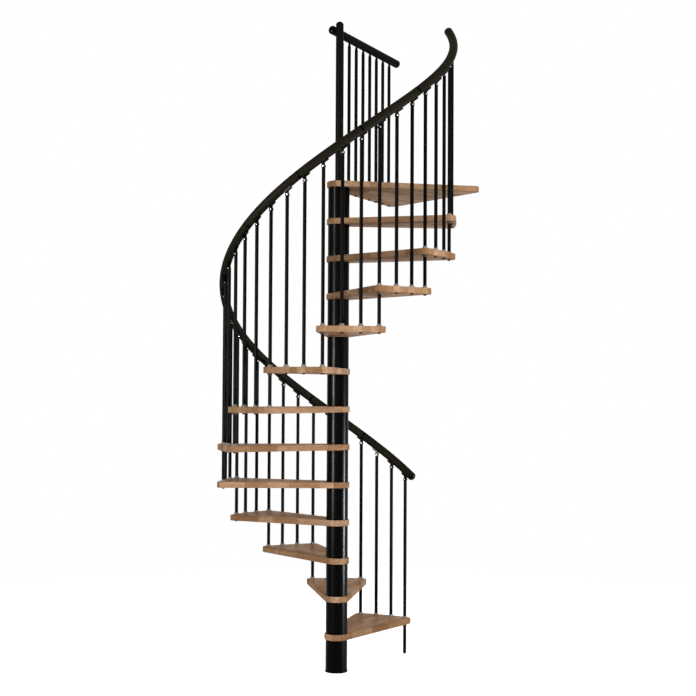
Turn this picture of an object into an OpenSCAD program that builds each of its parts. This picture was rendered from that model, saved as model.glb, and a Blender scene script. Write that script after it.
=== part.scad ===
// Spiral staircase: wooden treads threaded on a centre column, steel balusters,
// a helical handrail and a landing with its own guard rail.
// Millimetres, +Z up, origin on the floor at the centre of the column foot.

/* [Stair] */
// Full width of the stair across the column
stair_d = 1400; // [1100:10:1800]
// Height from one tread to the next
rise = 220; // [180:1:240]
// Turn from one tread to the next
turn = 26.57; // [22:0.01:30]
// Direction of the first tread
first_angle = 63.53; // [0:0.01:360]

/* [Column] */
// Outside of the column covers
column_d = 126; // [90:1:180]
// Wall of the column covers
cover_wall = 3; // [2:0.5:8]
// Edge break on the ends of each cover
cover_edge = 1.5; // [0.5:0.5:3]
// Centre pole inside the covers
pole_d = 60; // [40:1:76]
// Plate under the column
foot_d = 130; // [100:1:200]
// Thickness of that plate
foot_t = 8; // [6:1:20]
// Circle of the floor bolts
bolt_circle_d = 90; // [80:1:110]
// Holes for the floor bolts
bolt_hole_d = 11; // [8:0.5:14]
// Number of floor bolts
bolt_count = 4; // [3:1:6]

/* [Treads] */
// Thickness of treads and landing
tread_t = 34; // [25:1:50]
// Round inner end of treads and landing
hub_d = 141; // [100:1:200]
// Corner radius, centred on the corner balusters
corner_r = 36; // [25:1:50]
// Outward bow of the outer edge
edge_bow = 8; // [2:1:30]

/* [Landing] */
// Turn between the two outer corners
landing_turn = 55.8; // [40:0.1:80]
// Outer corners of the landing beyond the baluster circle
landing_beyond = 156; // [80:1:300]
// Corner radius of the landing
landing_corner_r = 30; // [20:1:50]

/* [Balusters] */
// Baluster rods
baluster_d = 20; // [14:0.5:30]
// Widest part of the ferrules at their feet
ferrule_d = 32; // [28:1:40]
// Height of the ferrules
ferrule_h = 12; // [6:1:20]
// Domed nuts below the treads
nut_d = 22; // [16:1:30]
// Height of the domed nuts
nut_h = 8; // [5:1:12]

/* [Handrail] */
// Handrail tube
rail_d = 50; // [40:1:60]
// Handrail centre outside the baluster circle
rail_out = 7; // [0:0.5:12]
// Handrail centre above the middle of a tread
rail_height = 1023; // [900:1:1100]
// Turn of each handrail length
rail_step = 29.25; // [20:0.05:40]
// Number of full handrail lengths
rail_lengths = 10; // [6:1:12]
// Overhang of the handrail before the first baluster
rail_start = 3.9; // [3:0.1:15]
// Turn of the last handrail length
rail_last = 33.2; // [20:0.1:45]
// Width of the joint rings
joint_w = 13.5; // [3:0.5:16]
// Step of the joint rings above the tube, less than the saddle clearance
joint_step = 0.2; // [0.1:0.05:0.25]
// Underside of the handrail down to the bracket pin
pin_gap = 23; // [18:1:40]
// Eye of the brackets
eye_d = 24; // [20:1:28]
// Thickness of the eye
eye_t = 12; // [8:1:16]
// Width of the arm between the eye and the saddle plate
arm_w = 15; // [10:1:18]
// Length of the saddle plate under the handrail
saddle_l = 47; // [40:1:60]
// Width of the saddle plate
saddle_w = 22; // [16:1:26]
// Middle of the saddle plate up the slope from the pin
saddle_shift = -9; // [-14:1:6]

/* [Landing rail] */
// Post and straight rail
post_d = 45; // [40:1:60]
// Top of the post above the landing
post_height = 955; // [900:5:1100]
// Straight rail centre above the landing
guard_height = 910; // [850:5:1050]
// Straight rail beyond the landing corner
guard_beyond = 60; // [0:5:150]
// Number of landing balusters
guard_count = 8; // [5:1:10]
// First landing baluster from the post
guard_first = 122; // [90:1:200]
// Last landing baluster back from the landing corner
guard_last = 47; // [30:1:100]
// Length of the pointed baluster tops
point_h = 24; // [10:1:40]

/* [Hidden] */
$fn = 64;
tread_count = 12;
per_tread = 3;
fit_gap = 0.2;
seat_gap = 0.3;
join_depth = 0.002;
fine_sides = 16;
sweep_step = 2.94;
pole_bore_d = pole_d + 2 * fit_gap;
rod_bore_d = baluster_d + 2 * fit_gap;
hub_r = hub_d / 2;
rod_reach = stair_d / 2 - corner_r;
landing_z = (tread_count + 1) * rise;
rod_turn = turn / per_tread;
rod_count = tread_count * per_tread;
first_rod_angle = first_angle - turn / 2;
rail_r = rail_d / 2;
rail_reach = rod_reach + rail_out;
landing_reach = rod_reach + landing_beyond;
rail_from = first_rod_angle - rail_start;
climb = rise / turn * 180 / PI;
rail_slope = atan2(climb, rail_reach);
pin_drop = rail_r / cos(rail_slope) + pin_gap;
rod_top_drop = pin_drop + eye_d / 2 + 2;
saddle_t = 7;
neck_drop = 4;
cap_rim = 4;
cap_step = 0.6;
cap_dome = 0.7;
landing_first = first_angle + (tread_count - 0.5) * turn;
landing_middle = landing_first + landing_turn / 2;
guard_angle = landing_first + landing_turn - asin((hub_r - landing_corner_r) / landing_reach);
guard_offset = (post_d + rail_d) / 2 + seat_gap;
guard_z = landing_z + guard_height;
guard_run = landing_reach + guard_beyond;
guard_pitch = (landing_reach - guard_last - guard_first) / (guard_count - 1);
post_foot_d = 90;
post_foot_t = 6;

black = [0.05, 0.05, 0.05];
grey = [0.55, 0.55, 0.56];
beech = [0.78, 0.6, 0.45];

// Directions and heights
function dir(a) = [cos(a), sin(a)];
function tread_angle(i) = first_angle + (i - 1) * turn;
function rod_angle(n) = first_rod_angle + n * rod_turn;
function rod_tread(n) = floor(n / per_tread) + 1;
function is_corner(n) = n % per_tread == 0;
function rail_z(a) = rise + rail_height + rise * (a - first_angle) / turn;
function rod_foot_z(n) = is_corner(n) ? (rod_tread(n) - 1) * rise : rod_tread(n) * rise;

// Wedge outline: a round inner end, two round outer corners and the edges between
function edge_normal(reach, inner_r, outer_r, half) = half + 90 - asin((inner_r - outer_r) / reach);
function bow_centre(reach, half, bow) =
    (pow(reach * sin(half), 2) - bow * bow) / (2 * bow) - reach * cos(half);

module wedge(reach, inner_r, outer_r, spread, bow) {
    half = spread / 2;
    out = edge_normal(reach, inner_r, outer_r, half);
    far = bow > 0 ? bow_centre(reach, half, bow) : 0;
    lean = bow > 0 ? atan2(reach * sin(half), reach * cos(half) + far) : 0;
    low = reach * dir(-half);
    high = reach * dir(half);
    circle(r = inner_r);
    for (c = [low, high]) translate(c) circle(r = outer_r);
    polygon([
        (inner_r - join_depth) * dir(-out),
        low + outer_r * dir(-out),
        low + outer_r * dir(-lean),
        high + outer_r * dir(lean),
        high + outer_r * dir(out),
        (inner_r - join_depth) * dir(out)
    ]);
    if (bow > 0) intersection() {
        translate([-far, 0]) circle(r = reach * cos(half) + outer_r + bow + far);
        polygon([low, low + 2 * outer_r * dir(-lean), high + 2 * outer_r * dir(lean), high]);
    }
}

// Places its children on baluster n of the flight
module at_rod(n, z) {
    rotate(rod_angle(n)) translate([rod_reach, 0, z]) children();
}

module tread(i) {
    z = i * rise - tread_t;
    color(beech) difference() {
        translate([0, 0, z]) rotate(tread_angle(i)) linear_extrude(tread_t)
            wedge(rod_reach, hub_r, corner_r, turn, edge_bow);
        translate([0, 0, z - 1]) cylinder(d = pole_bore_d, h = tread_t + 2);
        at_rod((i - 1) * per_tread, z - 1) cylinder(d = rod_bore_d, h = tread_t + 2);
    }
}

module tread_01() { tread(1); }
module tread_02() { tread(2); }
module tread_03() { tread(3); }
module tread_04() { tread(4); }
module tread_05() { tread(5); }
module tread_06() { tread(6); }
module tread_07() { tread(7); }
module tread_08() { tread(8); }
module tread_09() { tread(9); }
module tread_10() { tread(10); }
module tread_11() { tread(11); }
module tread_12() { tread(12); }

module foot_plate() {
    color(black) difference() {
        cylinder(d = foot_d, h = foot_t);
        for (k = [0 : bolt_count - 1]) rotate(45 + k * 360 / bolt_count)
            translate([bolt_circle_d / 2, 0, -1]) cylinder(d = bolt_hole_d, h = foot_t + 2);
    }
}

module centre_pole() {
    color(grey) translate([0, 0, foot_t]) cylinder(d = pole_d, h = landing_z - foot_t);
}

module cover(low, high) {
    out = column_d / 2;
    in = out - cover_wall;
    e = cover_edge;
    rotate_extrude() polygon([
        [in, low], [out - e, low], [out, low + e],
        [out, high - e], [out - e, high], [in, high]
    ]);
}

module column_covers() {
    color(black) for (i = [1 : tread_count + 1])
        cover(i == 1 ? foot_t : (i - 1) * rise, i * rise - tread_t);
}

module landing() {
    z = landing_z - tread_t;
    color(beech) difference() {
        translate([0, 0, z]) rotate(landing_middle) linear_extrude(tread_t)
            wedge(landing_reach, hub_r, landing_corner_r, landing_turn, 0);
        translate([0, 0, z - 1]) cylinder(d = pole_bore_d, h = tread_t + 2);
    }
}

module rod(n) {
    foot = n == 0 ? nut_h : rod_foot_z(n);
    at_rod(n, foot) cylinder(d = baluster_d, h = rail_z(rod_angle(n)) - rod_top_drop - foot);
}

module corner_balusters() {
    color(black) for (n = [0 : rod_count - 1]) if (is_corner(n)) rod(n);
}

module infill_balusters() {
    color(black) for (n = [0 : rod_count - 1]) if (!is_corner(n)) rod(n);
}

// Tapered ring round the foot of a rod
module ferrule() {
    difference() {
        cylinder(d1 = ferrule_d, d2 = baluster_d + 4, h = ferrule_h);
        translate([0, 0, -1]) cylinder(d = rod_bore_d, h = ferrule_h + 2);
    }
}

module baluster_ferrules() {
    color(grey) for (n = [0 : rod_count - 1]) {
        at_rod(n, rod_tread(n) * rise) ferrule();
        if (is_corner(n) && n > 0) at_rod(n, (rod_tread(n) - 1) * rise) ferrule();
    }
}

module corner_collars() {
    color(grey) for (n = [0 : rod_count - 1]) if (is_corner(n))
        at_rod(n, rod_tread(n) * rise - tread_t) mirror([0, 0, 1]) ferrule();
}

// Domed nut hanging from the underside of a tread
module nut() {
    dome_r = (pow(nut_d / 2, 2) + nut_h * nut_h) / (2 * nut_h);
    intersection() {
        translate([0, 0, -nut_h]) cylinder(d = nut_d, h = nut_h);
        translate([0, 0, dome_r - nut_h]) sphere(r = dome_r);
    }
}

module baluster_nuts() {
    color(black) for (n = [0 : rod_count - 1]) {
        if (!is_corner(n)) at_rod(n, rod_tread(n) * rise - tread_t) nut();
        if (is_corner(n) && n > 0) at_rod(n, (rod_tread(n) - 1) * rise - tread_t) nut();
    }
}

module floor_foot() {
    color(black) at_rod(0, 0) cylinder(d1 = baluster_d - 6, d2 = baluster_d, h = nut_h);
}

// Helical tube: each station is [angle, radius]
function across(a) = [sin(a) * sin(rail_slope), -cos(a) * sin(rail_slope), cos(rail_slope)];
function rail_point(a) = [rail_reach * cos(a), rail_reach * sin(a), rail_z(a)];
function rail_ring(s) = [
    for (k = [0 : fine_sides - 1])
        let (b = k * 360 / fine_sides)
        rail_point(s[0]) + s[1] * (cos(b) * [cos(s[0]), sin(s[0]), 0] + sin(b) * across(s[0]))
];
function run_stations(from, to, r) =
    let (steps = max(1, round((to - from) / sweep_step)))
    [for (k = [0 : steps]) [from + (to - from) * k / steps, r]];

module sweep(stations) {
    n = fine_sides;
    last = len(stations) - 1;
    points = [for (s = stations) each rail_ring(s)];
    sides = [
        for (j = [0 : last - 1], k = [0 : n - 1])
            let (a = j * n + k, b = j * n + (k + 1) % n)
            each [[a, a + n, b], [b, a + n, b + n]]
    ];
    ends = [[for (k = [0 : n - 1]) k], [for (k = [n - 1 : -1 : 0]) last * n + k]];
    polyhedron(points, concat(sides, ends), convexity = 6);
}

function turn_of(length) = length * cos(rail_slope) / rail_reach * 180 / PI;
function joint_at(k) = rail_from + k * rail_step;
half_joint = turn_of(joint_w / 2);

module handrail() {
    color(black) for (k = [0 : rail_lengths]) {
        from = k == 0 ? rail_from : joint_at(k) + half_joint;
        to = k == rail_lengths ? joint_at(k) + rail_last : joint_at(k + 1) - half_joint;
        sweep(run_stations(from, to, rail_r));
    }
}

module handrail_joints() {
    half = half_joint - turn_of(fit_gap / 2);
    color(black) for (k = [1 : rail_lengths])
        sweep(run_stations(joint_at(k) - half, joint_at(k) + half, rail_r + joint_step));
}

// Rim and dome that close a tube end, facing +Z
module end_cap(tube_r) {
    r = tube_r + cap_step;
    dome = r * cap_dome;
    ball = (r * r + dome * dome) / (2 * dome);
    union() {
        cylinder(r = r, h = cap_rim);
        intersection() {
            translate([0, 0, cap_rim - 1]) cylinder(r = r, h = dome + 2);
            translate([0, 0, cap_rim + dome - ball]) sphere(r = ball);
        }
    }
}

// Places its children on the handrail centre line, +Z up the slope
module on_rail(a) {
    rotate(a) translate([rail_reach, 0, rail_z(a)]) rotate([-90 + rail_slope, 0, 0]) children();
}

module handrail_caps() {
    color(black) {
        on_rail(rail_from) mirror([0, 0, 1]) end_cap(rail_r);
        on_rail(joint_at(rail_lengths) + rail_last) end_cap(rail_r);
    }
}

// Saddle plate that fits the underside of the handrail
module saddle() {
    difference() {
        translate([-saddle_w / 2, rail_r - saddle_t, -saddle_l / 2])
            cube([saddle_w, 2 * saddle_t, saddle_l]);
        cylinder(r = rail_r + seat_gap, h = 2 * saddle_l, center = true);
    }
}

// Eye in line with the baluster, its neck on the baluster and the arm up to the saddle
module eye_arm() {
    low = rod_top_drop - pin_drop;
    rotate([0, 90, 0]) cylinder(d = eye_d, h = eye_t, center = true);
    translate([0, 0, -low]) cylinder(d = baluster_d, h = low - neck_drop);
    translate([-eye_t / 2, -arm_w / 2, 0]) cube([eye_t, arm_w, pin_drop]);
}

module bracket(n) {
    a = rod_angle(n);
    middle = a + turn_of(saddle_shift);
    on_rail(middle) saddle();
    difference() {
        at_rod(n, rail_z(a) - pin_drop) eye_arm();
        on_rail(middle) translate([-rail_d, -rail_d, -saddle_l])
            cube([2 * rail_d, rail_d + rail_r + saddle_t / 2, 2 * saddle_l]);
    }
}

module handrail_brackets() {
    color(black) for (n = [0 : rod_count - 1]) union() bracket(n);
}

module post_foot() {
    color(black) translate([0, 0, landing_z]) cylinder(d = post_foot_d, h = post_foot_t);
}

post_top = landing_z + post_height - cap_rim - (post_d / 2 + cap_step) * cap_dome;

module landing_post() {
    low = landing_z + post_foot_t;
    color(black) translate([0, 0, low]) cylinder(d = post_d, h = post_top - low);
}

module post_cap() {
    color(black) translate([0, 0, post_top]) end_cap(post_d / 2);
}

// Places its children on the landing rail line, s along it from the post
module at_guard(s, z) {
    rotate(guard_angle) translate([s, guard_offset, z]) children();
}

module landing_rail() {
    color(black) at_guard(0, guard_z) rotate([0, 90, 0]) cylinder(d = rail_d, h = guard_run);
}

module landing_rail_caps() {
    color(black) {
        at_guard(0, guard_z) rotate([0, -90, 0]) end_cap(rail_r);
        at_guard(guard_run, guard_z) rotate([0, 90, 0]) end_cap(rail_r);
    }
}

module landing_balusters() {
    low = landing_z;
    top = guard_z - rail_r - seat_gap;
    color(black) for (k = [0 : guard_count - 1])
        at_guard(guard_first + k * guard_pitch, low) union() {
            cylinder(d = baluster_d, h = top - low - point_h);
            translate([0, 0, top - low - point_h])
                cylinder(d1 = baluster_d, d2 = baluster_d / 2, h = point_h);
        }
}

module landing_ferrules() {
    color(grey) for (k = [0 : guard_count - 1])
        at_guard(guard_first + k * guard_pitch, landing_z) ferrule();
}

module landing_nuts() {
    color(black) for (k = [0 : guard_count - 1])
        at_guard(guard_first + k * guard_pitch, landing_z - tread_t) nut();
}

foot_plate();
centre_pole();
column_covers();
tread_01();
tread_02();
tread_03();
tread_04();
tread_05();
tread_06();
tread_07();
tread_08();
tread_09();
tread_10();
tread_11();
tread_12();
landing();
corner_balusters();
infill_balusters();
baluster_ferrules();
corner_collars();
baluster_nuts();
floor_foot();
handrail();
handrail_joints();
handrail_caps();
handrail_brackets();
landing_post();
post_foot();
post_cap();
landing_rail();
landing_rail_caps();
landing_balusters();
landing_ferrules();
landing_nuts();
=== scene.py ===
import math
import random

import bmesh
import bpy
from mathutils import Matrix, Vector


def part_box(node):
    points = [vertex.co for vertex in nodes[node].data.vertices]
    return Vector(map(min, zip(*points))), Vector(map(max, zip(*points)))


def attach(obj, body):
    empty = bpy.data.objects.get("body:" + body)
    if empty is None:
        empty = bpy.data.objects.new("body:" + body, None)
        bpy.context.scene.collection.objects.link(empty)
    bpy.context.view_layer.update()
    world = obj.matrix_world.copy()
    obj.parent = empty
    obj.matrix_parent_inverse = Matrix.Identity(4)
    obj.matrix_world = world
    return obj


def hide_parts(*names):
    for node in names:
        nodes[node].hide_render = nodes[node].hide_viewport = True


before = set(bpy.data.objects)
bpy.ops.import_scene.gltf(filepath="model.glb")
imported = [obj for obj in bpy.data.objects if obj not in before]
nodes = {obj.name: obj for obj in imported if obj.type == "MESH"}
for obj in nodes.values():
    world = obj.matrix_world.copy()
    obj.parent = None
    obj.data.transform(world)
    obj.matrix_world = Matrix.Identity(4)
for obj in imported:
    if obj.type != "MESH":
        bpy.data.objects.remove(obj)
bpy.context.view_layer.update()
print("frame loaded,", len(nodes), "nodes")

# sizes shared by several pieces, in metres and degrees
stair = {
    "rise": 0.220,
    "turn": 26.57,
    "firstAngle": 63.53,
    "treadCount": 12,
    "rodsPerTread": 3,
    "rodReach": 0.664,  # circle that the balusters stand on
}
zAxis = (0, 0, 1)


def toRadians(value):
    return math.radians(value)


def onCircle(angle, radius=1.0, z=0.0):
    return Vector((radius * math.cos(toRadians(angle)), radius * math.sin(toRadians(angle)), z))


def turned(angle):
    return Matrix.Rotation(toRadians(angle), 4, "Z")


def moved(x, y, z):
    return Matrix.Translation((x, y, z))


def tilted(angle, axis):
    return Matrix.Rotation(toRadians(angle), 4, axis)


firstRodAngle = stair["firstAngle"] - stair["turn"] / 2
rodTurn = stair["turn"] / stair["rodsPerTread"]
rodCount = stair["treadCount"] * stair["rodsPerTread"]


def rodAngle(number):
    return firstRodAngle + number * rodTurn


# camera

cameraSettings = {
    "place": (0.0, -7.49235, 1.64063),
    "lens": 66.06,
    "sensorWidth": 36,
    "yaw": 0.0078,
    "pitch": 0.0323,
    "roll": 0.0053,
}


def addCamera(settings):
    data = bpy.data.cameras.new("viewCamera")
    data.lens = settings["lens"]
    data.sensor_width = settings["sensorWidth"]
    camera = bpy.data.objects.new("viewCamera", data)
    bpy.context.scene.collection.objects.link(camera)
    yaw, pitch, roll = settings["yaw"], settings["pitch"], settings["roll"]
    level = Vector((math.sin(yaw), math.cos(yaw), 0))
    right = Vector((math.cos(yaw), -math.sin(yaw), 0))
    forward = math.cos(pitch) * level + math.sin(pitch) * Vector(zAxis)
    up = -math.sin(pitch) * level + math.cos(pitch) * Vector(zAxis)
    xAxis = math.cos(roll) * right + math.sin(roll) * up
    yAxis = -math.sin(roll) * right + math.cos(roll) * up
    turn = Matrix((xAxis, yAxis, -forward)).transposed().to_4x4()
    camera.matrix_world = Matrix.Translation(settings["place"]) @ turn
    bpy.context.scene.camera = camera


addCamera(cameraSettings)


# helpers for shader nodes and meshes

def addNode(tree, kind, inputs=None, **settings):
    node = tree.nodes.new(kind)
    for key, value in settings.items():
        setattr(node, key, value)
    for key, value in (inputs or {}).items():
        if isinstance(value, bpy.types.NodeSocket):
            tree.links.new(value, node.inputs[key])
        else:
            node.inputs[key].default_value = value
    return node


def sums(tree, operation, first, second=0.0, third=0.0):
    inputs = {0: first, 1: second}
    if operation == "MULTIPLY_ADD":
        inputs[2] = third
    return addNode(tree, "ShaderNodeMath", inputs, operation=operation).outputs[0]


def mixColour(tree, factor, first, second):
    node = addNode(tree, "ShaderNodeMix", None, data_type="RGBA", blend_type="MIX")
    for index, value in ((0, factor), (6, first), (7, second)):
        if isinstance(value, bpy.types.NodeSocket):
            tree.links.new(value, node.inputs[index])
        else:
            node.inputs[index].default_value = value
    return node.outputs[2]


def spread(tree, value, fromLow, fromHigh, toLow, toHigh):
    return addNode(tree, "ShaderNodeMapRange", {
        "Value": value, "From Min": fromLow, "From Max": fromHigh, "To Min": toLow, "To Max": toHigh,
    }).outputs[0]


def noise(tree, place, scale, detail, warp=0.0):
    return addNode(tree, "ShaderNodeTexNoise", {
        "Vector": place, "Scale": scale, "Detail": detail, "Distortion": warp,
    }).outputs[0]


def colour(red, green, blue):
    return (red, green, blue, 1.0)


def startMaterial(name, constants):
    material = bpy.data.materials.new(name)
    material.use_nodes = True
    shader = material.node_tree.nodes["Principled BSDF"]
    for key, value in constants.items():
        shader.inputs[key].default_value = value
    return material, material.node_tree, shader


sortDirection = Vector((0.7313, 1.3771, 3.7137))


def sortByPlace(bm):
    # operators may hand back their results in another order each run
    bm.verts.sort(key=lambda vert: sortDirection.dot(vert.co))
    bm.edges.sort(key=lambda edge: sortDirection.dot(edge.verts[0].co + edge.verts[1].co))
    bm.faces.sort(key=lambda face: sortDirection.dot(face.calc_center_median()))


def finishPiece(bm, name, material, replaced, flatOver=None, sharpOver=40):
    mesh = bpy.data.meshes.new(name)
    bmesh.ops.recalc_face_normals(bm, faces=bm.faces[:])
    for face in bm.faces:
        face.smooth = flatOver is None or face.calc_area() < flatOver
    bm.to_mesh(mesh)
    bm.free()
    mesh.set_sharp_from_angle(angle=toRadians(sharpOver))
    mesh.materials.append(material)
    piece = bpy.data.objects.new(name, mesh)
    bpy.context.scene.collection.objects.link(piece)
    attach(piece, "root")
    if replaced:
        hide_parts(*replaced)
    return piece


def once(items):
    # each item once, in the order given
    return list(dict.fromkeys(items))


def paint(material, *names):
    for name in names:
        for slot in nodes[name].material_slots:
            slot.material = material


# finishes

woodSettings = {
    "staveWidth": 0.046,
    "blockLength": 0.17,
    "fingerPitch": 0.0055,
    "fingerDepth": 0.010,
    "glueLine": 0.0005,
    "glueStrength": 0.55,
    "glueColour": colour(0.17, 0.08, 0.04),
    "rowShift": 7.3,  # blocks that a row may slide along its neighbours
    "grainShift": (3.0, 3.0, 3.0),
    "light": colour(0.620, 0.405, 0.262),
    "middle": colour(0.445, 0.268, 0.150),
    "middleAt": 0.45,
    "dark": colour(0.290, 0.155, 0.076),
    "specular": 0.003,
    "roughness": (0.33, 0.42),
    "bump": 0.06,
    "bumpHeight": 0.0004,
}
# scale is along, across and through the board, and shown is the range of the noise that colours it
bandGrain = {"scale": (1.6, 34.0, 34.0), "detail": 4.0, "warp": 0.6, "shown": (0.35, 0.70), "strength": 0.60}
lineGrain = {"scale": (9.0, 420.0, 420.0), "detail": 3.0, "warp": 0.0, "shown": (0.30, 0.75),
             "strength": 0.22, "tone": colour(0.25, 0.125, 0.062)}
fleckGrain = {"scale": (160.0, 1100.0, 1100.0), "detail": 1.0, "warp": 0.0, "shown": (0.66, 0.78),
              "strength": 0.35, "tone": colour(0.22, 0.105, 0.052)}
noiseMiddle = (0.3, 0.7)  # where most values of a noise lie


def woodGrain(tree, place, grain):
    scaled = addNode(tree, "ShaderNodeMapping", {"Vector": place, "Scale": grain["scale"]}).outputs[0]
    return noise(tree, scaled, 1.0, grain["detail"], grain["warp"])


def grainStrength(tree, pattern, grain):
    return spread(tree, pattern, *grain["shown"], 0.0, grain["strength"])


def beechStaves(name, settings):
    material, tree, shader = startMaterial(name, {"Specular IOR Level": settings["specular"]})
    place = addNode(tree, "ShaderNodeAttribute", None, attribute_name="woodPlace").outputs["Vector"]
    axes = addNode(tree, "ShaderNodeSeparateXYZ", {0: place})
    along, across, height = axes.outputs[0], axes.outputs[1], axes.outputs[2]

    # staves side by side, each one a row of short blocks
    rowPlace = sums(tree, "DIVIDE", across, settings["staveWidth"])
    row = sums(tree, "FLOOR", rowPlace)
    rowChance = addNode(tree, "ShaderNodeTexWhiteNoise", {"W": row}, noise_dimensions="1D").outputs["Value"]
    zigzag = sums(tree, "PINGPONG", height, settings["fingerPitch"] / 2)
    fingers = sums(tree, "MULTIPLY", zigzag, settings["fingerDepth"] / (settings["fingerPitch"] / 2))
    shifted = sums(tree, "ADD", along, fingers)
    inBlocks = sums(tree, "DIVIDE", shifted, settings["blockLength"])
    blockPlace = sums(tree, "MULTIPLY_ADD", rowChance, settings["rowShift"], inBlocks)
    block = sums(tree, "FLOOR", blockPlace)
    blockKey = addNode(tree, "ShaderNodeCombineXYZ", {0: row, 1: block})
    chance = addNode(tree, "ShaderNodeTexWhiteNoise", {"Vector": blockKey.outputs[0]}, noise_dimensions="3D")
    tone, shiftKey = chance.outputs["Value"], chance.outputs["Color"]

    # grain runs along each block and starts afresh in the next
    offset = addNode(tree, "ShaderNodeVectorMath", {
        0: shiftKey, 1: settings["grainShift"],
    }, operation="MULTIPLY").outputs[0]
    grainPlace = addNode(tree, "ShaderNodeVectorMath", {0: place, 1: offset}, operation="ADD").outputs[0]
    bands = woodGrain(tree, grainPlace, bandGrain)
    lines = woodGrain(tree, grainPlace, lineGrain)
    flecks = woodGrain(tree, grainPlace, fleckGrain)

    ramp = addNode(tree, "ShaderNodeValToRGB", {0: tone})
    ramp.color_ramp.elements[0].color = settings["dark"]
    ramp.color_ramp.elements[1].color = settings["light"]
    ramp.color_ramp.elements.new(settings["middleAt"]).color = settings["middle"]
    banded = mixColour(tree, grainStrength(tree, bands, bandGrain), ramp.outputs[0], settings["dark"])
    grained = mixColour(tree, grainStrength(tree, lines, lineGrain), banded, lineGrain["tone"])
    flecked = mixColour(tree, grainStrength(tree, flecks, fleckGrain), grained, fleckGrain["tone"])

    # thin glue lines between the staves and at the finger joints
    staveEdge = sums(tree, "PINGPONG", rowPlace, 0.5)
    blockEdge = sums(tree, "PINGPONG", blockPlace, 0.5)
    staveLine = sums(tree, "LESS_THAN", staveEdge, settings["glueLine"] / settings["staveWidth"])
    blockLine = sums(tree, "LESS_THAN", blockEdge, settings["glueLine"] / settings["blockLength"])
    glue = sums(tree, "MAXIMUM", staveLine, blockLine)
    glueShown = sums(tree, "MULTIPLY", glue, settings["glueStrength"])
    finished = mixColour(tree, glueShown, flecked, settings["glueColour"])
    tree.links.new(finished, shader.inputs["Base Color"])
    roughness = spread(tree, lines, *noiseMiddle, *settings["roughness"])
    tree.links.new(roughness, shader.inputs["Roughness"])
    bump = addNode(tree, "ShaderNodeBump", {
        "Strength": settings["bump"], "Distance": settings["bumpHeight"], "Height": lines,
    })
    tree.links.new(bump.outputs[0], shader.inputs["Normal"])
    return material


coatNoise = {"cloudDetail": 3.0, "grainDetail": 2.0, "bumpHeight": 0.0003}


def speckledFinish(name, settings):
    # an even coat with a slight mottle, a fine surface grain and a little roughness change
    material, tree, shader = startMaterial(name, settings["constants"])
    place = addNode(tree, "ShaderNodeTexCoord").outputs["Object"]
    cloud = noise(tree, place, settings["cloudScale"], coatNoise["cloudDetail"])
    grain = noise(tree, place, settings["grainScale"], coatNoise["grainDetail"])
    factor = spread(tree, cloud, *noiseMiddle, 0.0, 1.0)
    coat = mixColour(tree, factor, settings["first"], settings["second"])
    tree.links.new(coat, shader.inputs["Base Color"])
    roughness = spread(tree, grain, *noiseMiddle, *settings["roughness"])
    tree.links.new(roughness, shader.inputs["Roughness"])
    bump = addNode(tree, "ShaderNodeBump", {
        "Strength": settings["bump"], "Distance": coatNoise["bumpHeight"], "Height": grain,
    })
    tree.links.new(bump.outputs[0], shader.inputs["Normal"])
    return material


beech = beechStaves("lacqueredBeech", woodSettings)
columnCoat = speckledFinish("columnCoat", {
    "first": colour(0.0006, 0.0006, 0.0005),
    "second": colour(0.0014, 0.0013, 0.0011),
    "cloudScale": 7.0,
    "grainScale": 45.0,
    "roughness": (0.24, 0.28),
    "bump": 0.012,
    "constants": {"Specular IOR Level": 0.02},
})
rodCoat = speckledFinish("balusterCoat", {
    "first": colour(0.0008, 0.0008, 0.0007),
    "second": colour(0.0020, 0.0019, 0.0017),
    "cloudScale": 12.0,
    "grainScale": 60.0,
    "roughness": (0.50, 0.55),
    "bump": 0.010,
    "constants": {"Specular IOR Level": 0.014},
})
sleeveSkin = speckledFinish("handrailSleeve", {
    "first": colour(0.0108, 0.0097, 0.0056),
    "second": colour(0.0170, 0.0155, 0.0094),
    "cloudScale": 9.0,
    "grainScale": 1600.0,
    "roughness": (0.54, 0.62),
    "bump": 0.06,
    "constants": {"Specular IOR Level": 0.010},
})
postCoat = speckledFinish("postCoat", {
    "first": colour(0.0036, 0.0035, 0.0031),
    "second": colour(0.0062, 0.0060, 0.0054),
    "cloudScale": 9.0,
    "grainScale": 60.0,
    "roughness": (0.46, 0.50),
    "bump": 0.010,
    "constants": {"Specular IOR Level": 0.016},
})
bandBlack = speckledFinish("bandBlack", {
    "first": colour(0.0005, 0.0005, 0.0005),
    "second": colour(0.0010, 0.0010, 0.0009),
    "cloudScale": 30.0,
    "grainScale": 900.0,
    "roughness": (0.30, 0.36),
    "bump": 0.02,
    "constants": {"Specular IOR Level": 0.010},
})
blackPlastic = speckledFinish("mouldedBlack", {
    "first": colour(0.0018, 0.0018, 0.0018),
    "second": colour(0.0035, 0.0035, 0.0034),
    "cloudScale": 20.0,
    "grainScale": 1500.0,
    "roughness": (0.20, 0.28),
    "bump": 0.03,
    "constants": {"Specular IOR Level": 0.020},
})
greyPlastic = speckledFinish("mouldedGrey", {
    "first": colour(0.250, 0.226, 0.192),
    "second": colour(0.315, 0.287, 0.246),
    "cloudScale": 30.0,
    "grainScale": 900.0,
    "roughness": (0.42, 0.50),
    "bump": 0.05,
    "constants": {"Specular IOR Level": 0.06},
})
collarGrey = speckledFinish("collarGrey", {
    "first": colour(0.050, 0.044, 0.037),
    "second": colour(0.078, 0.069, 0.058),
    "cloudScale": 30.0,
    "grainScale": 900.0,
    "roughness": (0.42, 0.50),
    "bump": 0.05,
    "constants": {"Specular IOR Level": 0.04},
})
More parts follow.
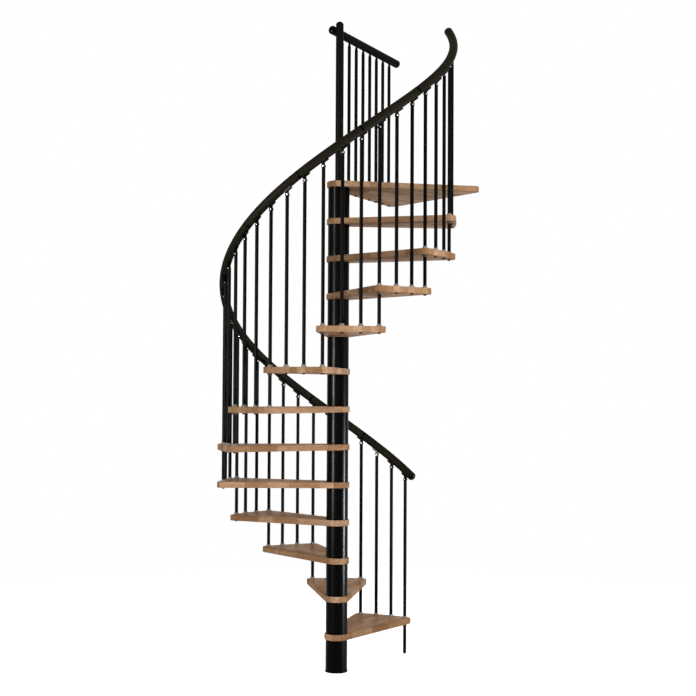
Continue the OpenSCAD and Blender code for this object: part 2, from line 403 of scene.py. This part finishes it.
brightSteel = speckledFinish("brightSteel", {
    "first": colour(0.46, 0.45, 0.43),
    "second": colour(0.58, 0.57, 0.54),
    "cloudScale": 60.0,
    "grainScale": 2500.0,
    "roughness": (0.22, 0.32),
    "bump": 0.05,
    "constants": {"Metallic": 1.0},
})
print("finishes made")


# treads and landing

treadSettings = {
    "hubRadius": 0.0705,
    "reach": 0.664,
    "cornerRadius": 0.036,
    "spread": 26.57,
    "bow": 0.008,
    "edge": 0.003,
}
landingSettings = {
    "hubRadius": 0.0705,
    "reach": 0.820,
    "cornerRadius": 0.030,
    "spread": 55.8,
    "middle": 36.985,
    "bow": 0.0,
    "edge": 0.003,
}
boardDetail = {
    "hubSides": 72,
    "cornerSides": 48,
    "bowSteps": 14,
    "edgeSteps": 3,
    "joinBelow": 0.2,  # degrees between faces that become one
    "level": 1e-6,  # height difference of an edge that counts as level
    "grainStart": 9,  # how far apart the boards' grain may start
    "flatOver": 0.002,  # square metres, over which a face is shaded flat
}


def wedgePiece(name, middle, settings, chance):
    low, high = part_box(name)
    half = settings["spread"] / 2
    bm = bmesh.new()
    bmesh.ops.create_circle(bm, segments=boardDetail["hubSides"], radius=settings["hubRadius"])
    for side in (-half, half):
        corner = onCircle(side, settings["reach"])
        bmesh.ops.create_circle(
            bm, segments=boardDetail["cornerSides"], radius=settings["cornerRadius"],
            matrix=Matrix.Translation(corner),
        )
    if settings["bow"]:
        # the outer edge is a wide arc between the corners
        chord = settings["reach"] * math.sin(toRadians(half))
        flat = settings["reach"] * math.cos(toRadians(half))
        back = (chord * chord - settings["bow"] ** 2) / (2 * settings["bow"]) - flat
        lean = math.atan2(chord, flat + back)
        radius = flat + settings["cornerRadius"] + settings["bow"] + back
        start = bm.verts.new((radius * math.cos(-lean) - back, radius * math.sin(-lean), 0))
        bmesh.ops.spin(
            bm, geom=[start], cent=(-back, 0, 0), axis=zAxis, angle=2 * lean, steps=boardDetail["bowSteps"],
        )
    copied = bmesh.ops.duplicate(bm, geom=bm.verts[:] + bm.edges[:])
    upper = [item for item in copied["geom"] if isinstance(item, bmesh.types.BMVert)]
    bmesh.ops.translate(bm, verts=upper, vec=(0, 0, high.z - low.z))
    hull = bmesh.ops.convex_hull(bm, input=bm.verts[:])
    inside = hull["geom_interior"] + hull["geom_unused"]
    spare = [item for item in inside if isinstance(item, bmesh.types.BMVert)]
    bmesh.ops.delete(bm, geom=once(spare), context="VERTS")
    joinBelow = toRadians(boardDetail["joinBelow"])
    bmesh.ops.dissolve_limit(bm, angle_limit=joinBelow, verts=bm.verts[:], edges=bm.edges[:])
    rim = [edge for edge in bm.edges if abs(edge.verts[0].co.z - edge.verts[1].co.z) < boardDetail["level"]]
    bmesh.ops.bevel(
        bm, geom=rim, offset=settings["edge"], segments=boardDetail["edgeSteps"],
        affect="EDGES", profile=0.5, material=-1,
    )

    # where each point lies in its own board, for the grain
    grainStart = boardDetail["grainStart"]
    shift = Vector((chance.uniform(0, grainStart), chance.uniform(0, grainStart), 0))
    places = [vert.co + shift for vert in bm.verts]
    bmesh.ops.transform(bm, matrix=moved(0, 0, low.z) @ turned(middle), verts=bm.verts[:])
    piece = finishPiece(bm, name + "_board", beech, [name], flatOver=boardDetail["flatOver"])
    layer = piece.data.attributes.new("woodPlace", "FLOAT_VECTOR", "POINT")
    layer.data.foreach_set("vector", [value for place in places for value in place])
    return piece


woodChance = random.Random(4)
for number in range(1, stair["treadCount"] + 1):
    middle = stair["firstAngle"] + (number - 1) * stair["turn"]
    wedgePiece("tread_%02d" % number, middle, treadSettings, woodChance)
wedgePiece("landing", landingSettings["middle"], landingSettings, woodChance)
print("treads and landing made")


# handrail

railSettings = {
    "reach": 0.671,
    "heightAtFirst": 1.243,  # centre line above the middle of the first tread
    "radius": 0.025,
    "from": 46.345,
    "to": 372.045,
    "jointTurn": 29.25,
    "jointCount": 10,
    "jointWidth": 0.0133,
    "jointRadius": 0.0252,
    "jointEdge": 0.00012,
    "jointSteps": 2,
    "sides": 36,
    "ringTurn": 1.64,
}
railClimb = stair["rise"] / toRadians(stair["turn"])
railSlope = math.degrees(math.atan2(railClimb, railSettings["reach"]))


def railHeight(angle):
    return railSettings["heightAtFirst"] + stair["rise"] * (angle - stair["firstAngle"]) / stair["turn"]


def onRail(angle):
    # stands on the centre line with +Z up the slope and +Y below the rail
    return turned(angle) @ moved(railSettings["reach"], 0, railHeight(angle)) @ tilted(railSlope - 90, "X")


def turnOf(length):
    return math.degrees(length * math.cos(toRadians(railSlope)) / railSettings["reach"])


def sweepRail(bm, startAngle, endAngle, radius, sides, steps):
    ring = bmesh.ops.create_circle(bm, segments=sides, radius=radius, matrix=onRail(startAngle))["verts"]
    edges = once(edge for vert in ring for edge in vert.link_edges)
    lift = (0, 0, (railHeight(endAngle) - railHeight(startAngle)) / steps)
    bmesh.ops.spin(
        bm, geom=ring + edges, cent=(0, 0, 0), axis=zAxis, dvec=lift,
        angle=toRadians(endAngle - startAngle), steps=steps,
    )
    # sorting moves the elements, so the open ends are looked up after it
    sortByPlace(bm)
    return [edge for edge in bm.edges if edge.is_boundary]


def addRail():
    bm = bmesh.new()
    start, end = railSettings["from"], railSettings["to"]
    steps = round((end - start) / railSettings["ringTurn"])
    ends = sweepRail(bm, start, end, railSettings["radius"], railSettings["sides"], steps)
    bmesh.ops.holes_fill(bm, edges=ends)
    sortByPlace(bm)
    return finishPiece(bm, "handrail_sleeve", sleeveSkin, ["handrail"])


def addJoints():
    # short smooth bands over the ends of the lengths
    bm = bmesh.new()
    half = turnOf(railSettings["jointWidth"] / 2)
    for number in range(1, railSettings["jointCount"] + 1):
        angle = railSettings["from"] + number * railSettings["jointTurn"]
        ends = sweepRail(
            bm, angle - half, angle + half, railSettings["jointRadius"], railSettings["sides"],
            railSettings["jointSteps"],
        )
        caps = bmesh.ops.holes_fill(bm, edges=ends)["faces"]
        edges = once(edge for face in caps for edge in face.edges)
        bmesh.ops.bevel(
            bm, geom=edges, offset=railSettings["jointEdge"], segments=1,
            affect="EDGES", profile=0.5, material=-1,
        )
    sortByPlace(bm)
    return finishPiece(bm, "handrail_bands", bandBlack, ["handrail_joints"], sharpOver=50)


addRail()
addJoints()
print("handrail made")


# screws in the eyes of the brackets

screwSettings = {
    "radius": 0.0043,
    "proud": 0.0020,
    "eyeHalf": 0.006,  # half the thickness of a bracket's eye
    "pinGap": 0.023,
    "sides": 14,
    "crownInset": 0.0012,
    "crownRise": 0.0006,
    "socketInset": 0.0010,
    "socketDepth": 0.0014,
}
pinDrop = railSettings["radius"] / math.cos(toRadians(railSlope)) + screwSettings["pinGap"]


def addScrews():
    bm = bmesh.new()
    for number in range(rodCount):
        angle = rodAngle(number)
        centre = turned(angle) @ moved(stair["rodReach"], 0, railHeight(angle) - pinDrop)
        for side in (-1, 1):
            face = centre @ tilted(side * 90, "Y") @ moved(0, 0, screwSettings["eyeHalf"])
            disc = bmesh.ops.create_circle(
                bm, cap_ends=True, segments=screwSettings["sides"],
                radius=screwSettings["radius"], matrix=face,
            )["verts"]
            top = once(item for vert in disc for item in vert.link_faces)
            out = face.to_3x3() @ Vector((0, 0, screwSettings["proud"]))
            raised = bmesh.ops.extrude_face_region(bm, geom=top)["geom"]
            bmesh.ops.delete(bm, geom=top, context="FACES_ONLY")
            points = [item for item in raised if isinstance(item, bmesh.types.BMVert)]
            bmesh.ops.translate(bm, verts=points, vec=out)
            head = [item for item in raised if isinstance(item, bmesh.types.BMFace)]
            crownInset, crownRise = screwSettings["crownInset"], screwSettings["crownRise"]
            socketInset, socketDepth = screwSettings["socketInset"], screwSettings["socketDepth"]
            bmesh.ops.inset_region(bm, faces=head, thickness=crownInset, depth=crownRise)
            bmesh.ops.inset_region(bm, faces=head, thickness=socketInset, depth=-socketDepth)
    sortByPlace(bm)
    return finishPiece(bm, "bracket_screws", brightSteel, [], sharpOver=35)


addScrews()
print("screws made")


# finishes of the CAD pieces that stay

paint(columnCoat, "column_covers", "foot_plate")
paint(rodCoat, "corner_balusters", "infill_balusters", "landing_balusters", "landing_rail")
paint(postCoat, "landing_post", "post_foot")
paint(blackPlastic, "handrail_caps", "handrail_brackets", "landing_rail_caps", "post_cap", "baluster_nuts",
      "landing_nuts", "floor_foot")
paint(greyPlastic, "baluster_ferrules", "landing_ferrules")
paint(collarGrey, "corner_collars")
paint(brightSteel, "centre_pole")


# floor, world and lamps

stageSettings = {
    "floorSize": 12.0,
    "floorColour": colour(0.86, 0.86, 0.86),
    "floorGlow": 0.72,
    "fadeFrom": 1.7,
    "fadeTo": 4.6,
    "worldFill": 0.32,
}
lampSettings = [
    {"name": "frontSoftbox", "place": (-0.5, -5.6, 2.2), "aim": (0, 0, 1.7),
     "size": (5.0, 2.6), "power": 92.0, "tint": (1.0, 0.96, 0.91)},
    {"name": "highFill", "place": (3.4, -2.6, 3.3), "aim": (0.3, 0, 2.6),
     "size": (1.6, 1.6), "power": 96.0, "tint": (1.0, 0.98, 0.95)},
    {"name": "leftFill", "place": (-3.6, -2.2, 2.5), "aim": (0.1, 0, 2.3),
     "size": (1.4, 2.0), "power": 30.0, "tint": (1.0, 0.95, 0.88)},
    {"name": "underFill", "place": (1.3, -2.2, 0.12), "aim": (0.3, 0, 2.86),
     "size": (1.6, 0.8), "power": 14.0, "tint": (1.0, 0.97, 0.93), "softOnly": True},
    {"name": "rearFill", "place": (0.9, 5.4, 2.2), "aim": (0, 0, 1.7),
     "size": (4.4, 2.4), "power": 84.0, "tint": (1.0, 0.94, 0.85), "softOnly": True},
    # strips that give no diffuse light and draw the highlights
    {"name": "warmStrip", "place": (-2.92, -2.72, 1.42), "aim": (0, 0, 1.40),
     "size": (0.16, 1.2), "power": 900.0, "tint": (1.0, 0.93, 0.82), "sheenOnly": True},
    {"name": "coolStrip", "place": (3.95, -0.62, 0.55), "aim": (0, 0, 0.60),
     "size": (0.15, 0.9), "power": 1150.0, "tint": (0.91, 0.94, 1.0), "sheenOnly": True},
    {"name": "upperStrip", "place": (-2.92, -2.72, 3.05), "aim": (0, 0, 2.45),
     "size": (0.5, 1.4), "power": 260.0, "tint": (1.0, 0.93, 0.84), "sheenOnly": True},
]


def seenDirectly(tree):
    # 1 for camera, glossy and transmission rays
    path = addNode(tree, "ShaderNodeLightPath").outputs
    reflected = sums(tree, "MAXIMUM", path["Is Glossy Ray"], path["Is Transmission Ray"])
    return sums(tree, "MAXIMUM", path["Is Camera Ray"], reflected)


def addFloor():
    bm = bmesh.new()
    bmesh.ops.create_grid(bm, x_segments=1, y_segments=1, size=stageSettings["floorSize"] / 2)
    mesh = bpy.data.meshes.new("paleFloor")
    bm.to_mesh(mesh)
    bm.free()
    material = bpy.data.materials.new("paleFloor")
    material.use_nodes = True
    tree = material.node_tree
    tree.nodes.clear()
    strength = sums(tree, "MULTIPLY", seenDirectly(tree), stageSettings["floorGlow"])
    glow = addNode(tree, "ShaderNodeEmission", {"Strength": strength})
    matt = addNode(tree, "ShaderNodeBsdfDiffuse", {"Color": stageSettings["floorColour"]})
    both = addNode(tree, "ShaderNodeAddShader", {0: glow.outputs[0], 1: matt.outputs[0]})
    # the floor fades out into the white around it
    place = addNode(tree, "ShaderNodeTexCoord").outputs["Object"]
    away = addNode(tree, "ShaderNodeVectorMath", {0: place}, operation="LENGTH").outputs["Value"]
    fade = addNode(tree, "ShaderNodeMapRange", {
        "Value": away, "From Min": stageSettings["fadeFrom"], "From Max": stageSettings["fadeTo"],
    }, interpolation_type="SMOOTHSTEP").outputs[0]
    clear = addNode(tree, "ShaderNodeBsdfTransparent").outputs[0]
    shown = addNode(tree, "ShaderNodeMixShader", {0: fade, 1: both.outputs[0], 2: clear})
    addNode(tree, "ShaderNodeOutputMaterial", {"Surface": shown.outputs[0]})
    mesh.materials.append(material)
    floor = bpy.data.objects.new("paleFloor", mesh)
    bpy.context.scene.collection.objects.link(floor)


def addWorld():
    world = bpy.data.worlds.new("paleStudio")
    bpy.context.scene.world = world
    world.use_nodes = True
    tree = world.node_tree
    tree.nodes.clear()
    level = spread(tree, seenDirectly(tree), 0.0, 1.0, stageSettings["worldFill"], 1.0)
    background = addNode(tree, "ShaderNodeBackground", {"Color": colour(1, 1, 1), "Strength": level})
    addNode(tree, "ShaderNodeOutputWorld", {"Surface": background.outputs[0]})


def addLamp(settings):
    data = bpy.data.lights.new(settings["name"], "AREA")
    data.shape = "RECTANGLE"
    data.size, data.size_y = settings["size"]
    data.energy = settings["power"]
    data.color = settings["tint"]
    lamp = bpy.data.objects.new(settings["name"], data)
    bpy.context.scene.collection.objects.link(lamp)
    toward = Vector(settings["aim"]) - Vector(settings["place"])
    lamp.rotation_euler = toward.to_track_quat("-Z", "Y").to_euler()
    lamp.location = settings["place"]
    lamp.visible_diffuse = not settings.get("sheenOnly", False)
    lamp.visible_glossy = not settings.get("softOnly", False)


addFloor()
addWorld()
for settings in lampSettings:
    addLamp(settings)
bpy.context.scene.view_settings.view_transform = "Standard"
print("stage and lamps made")
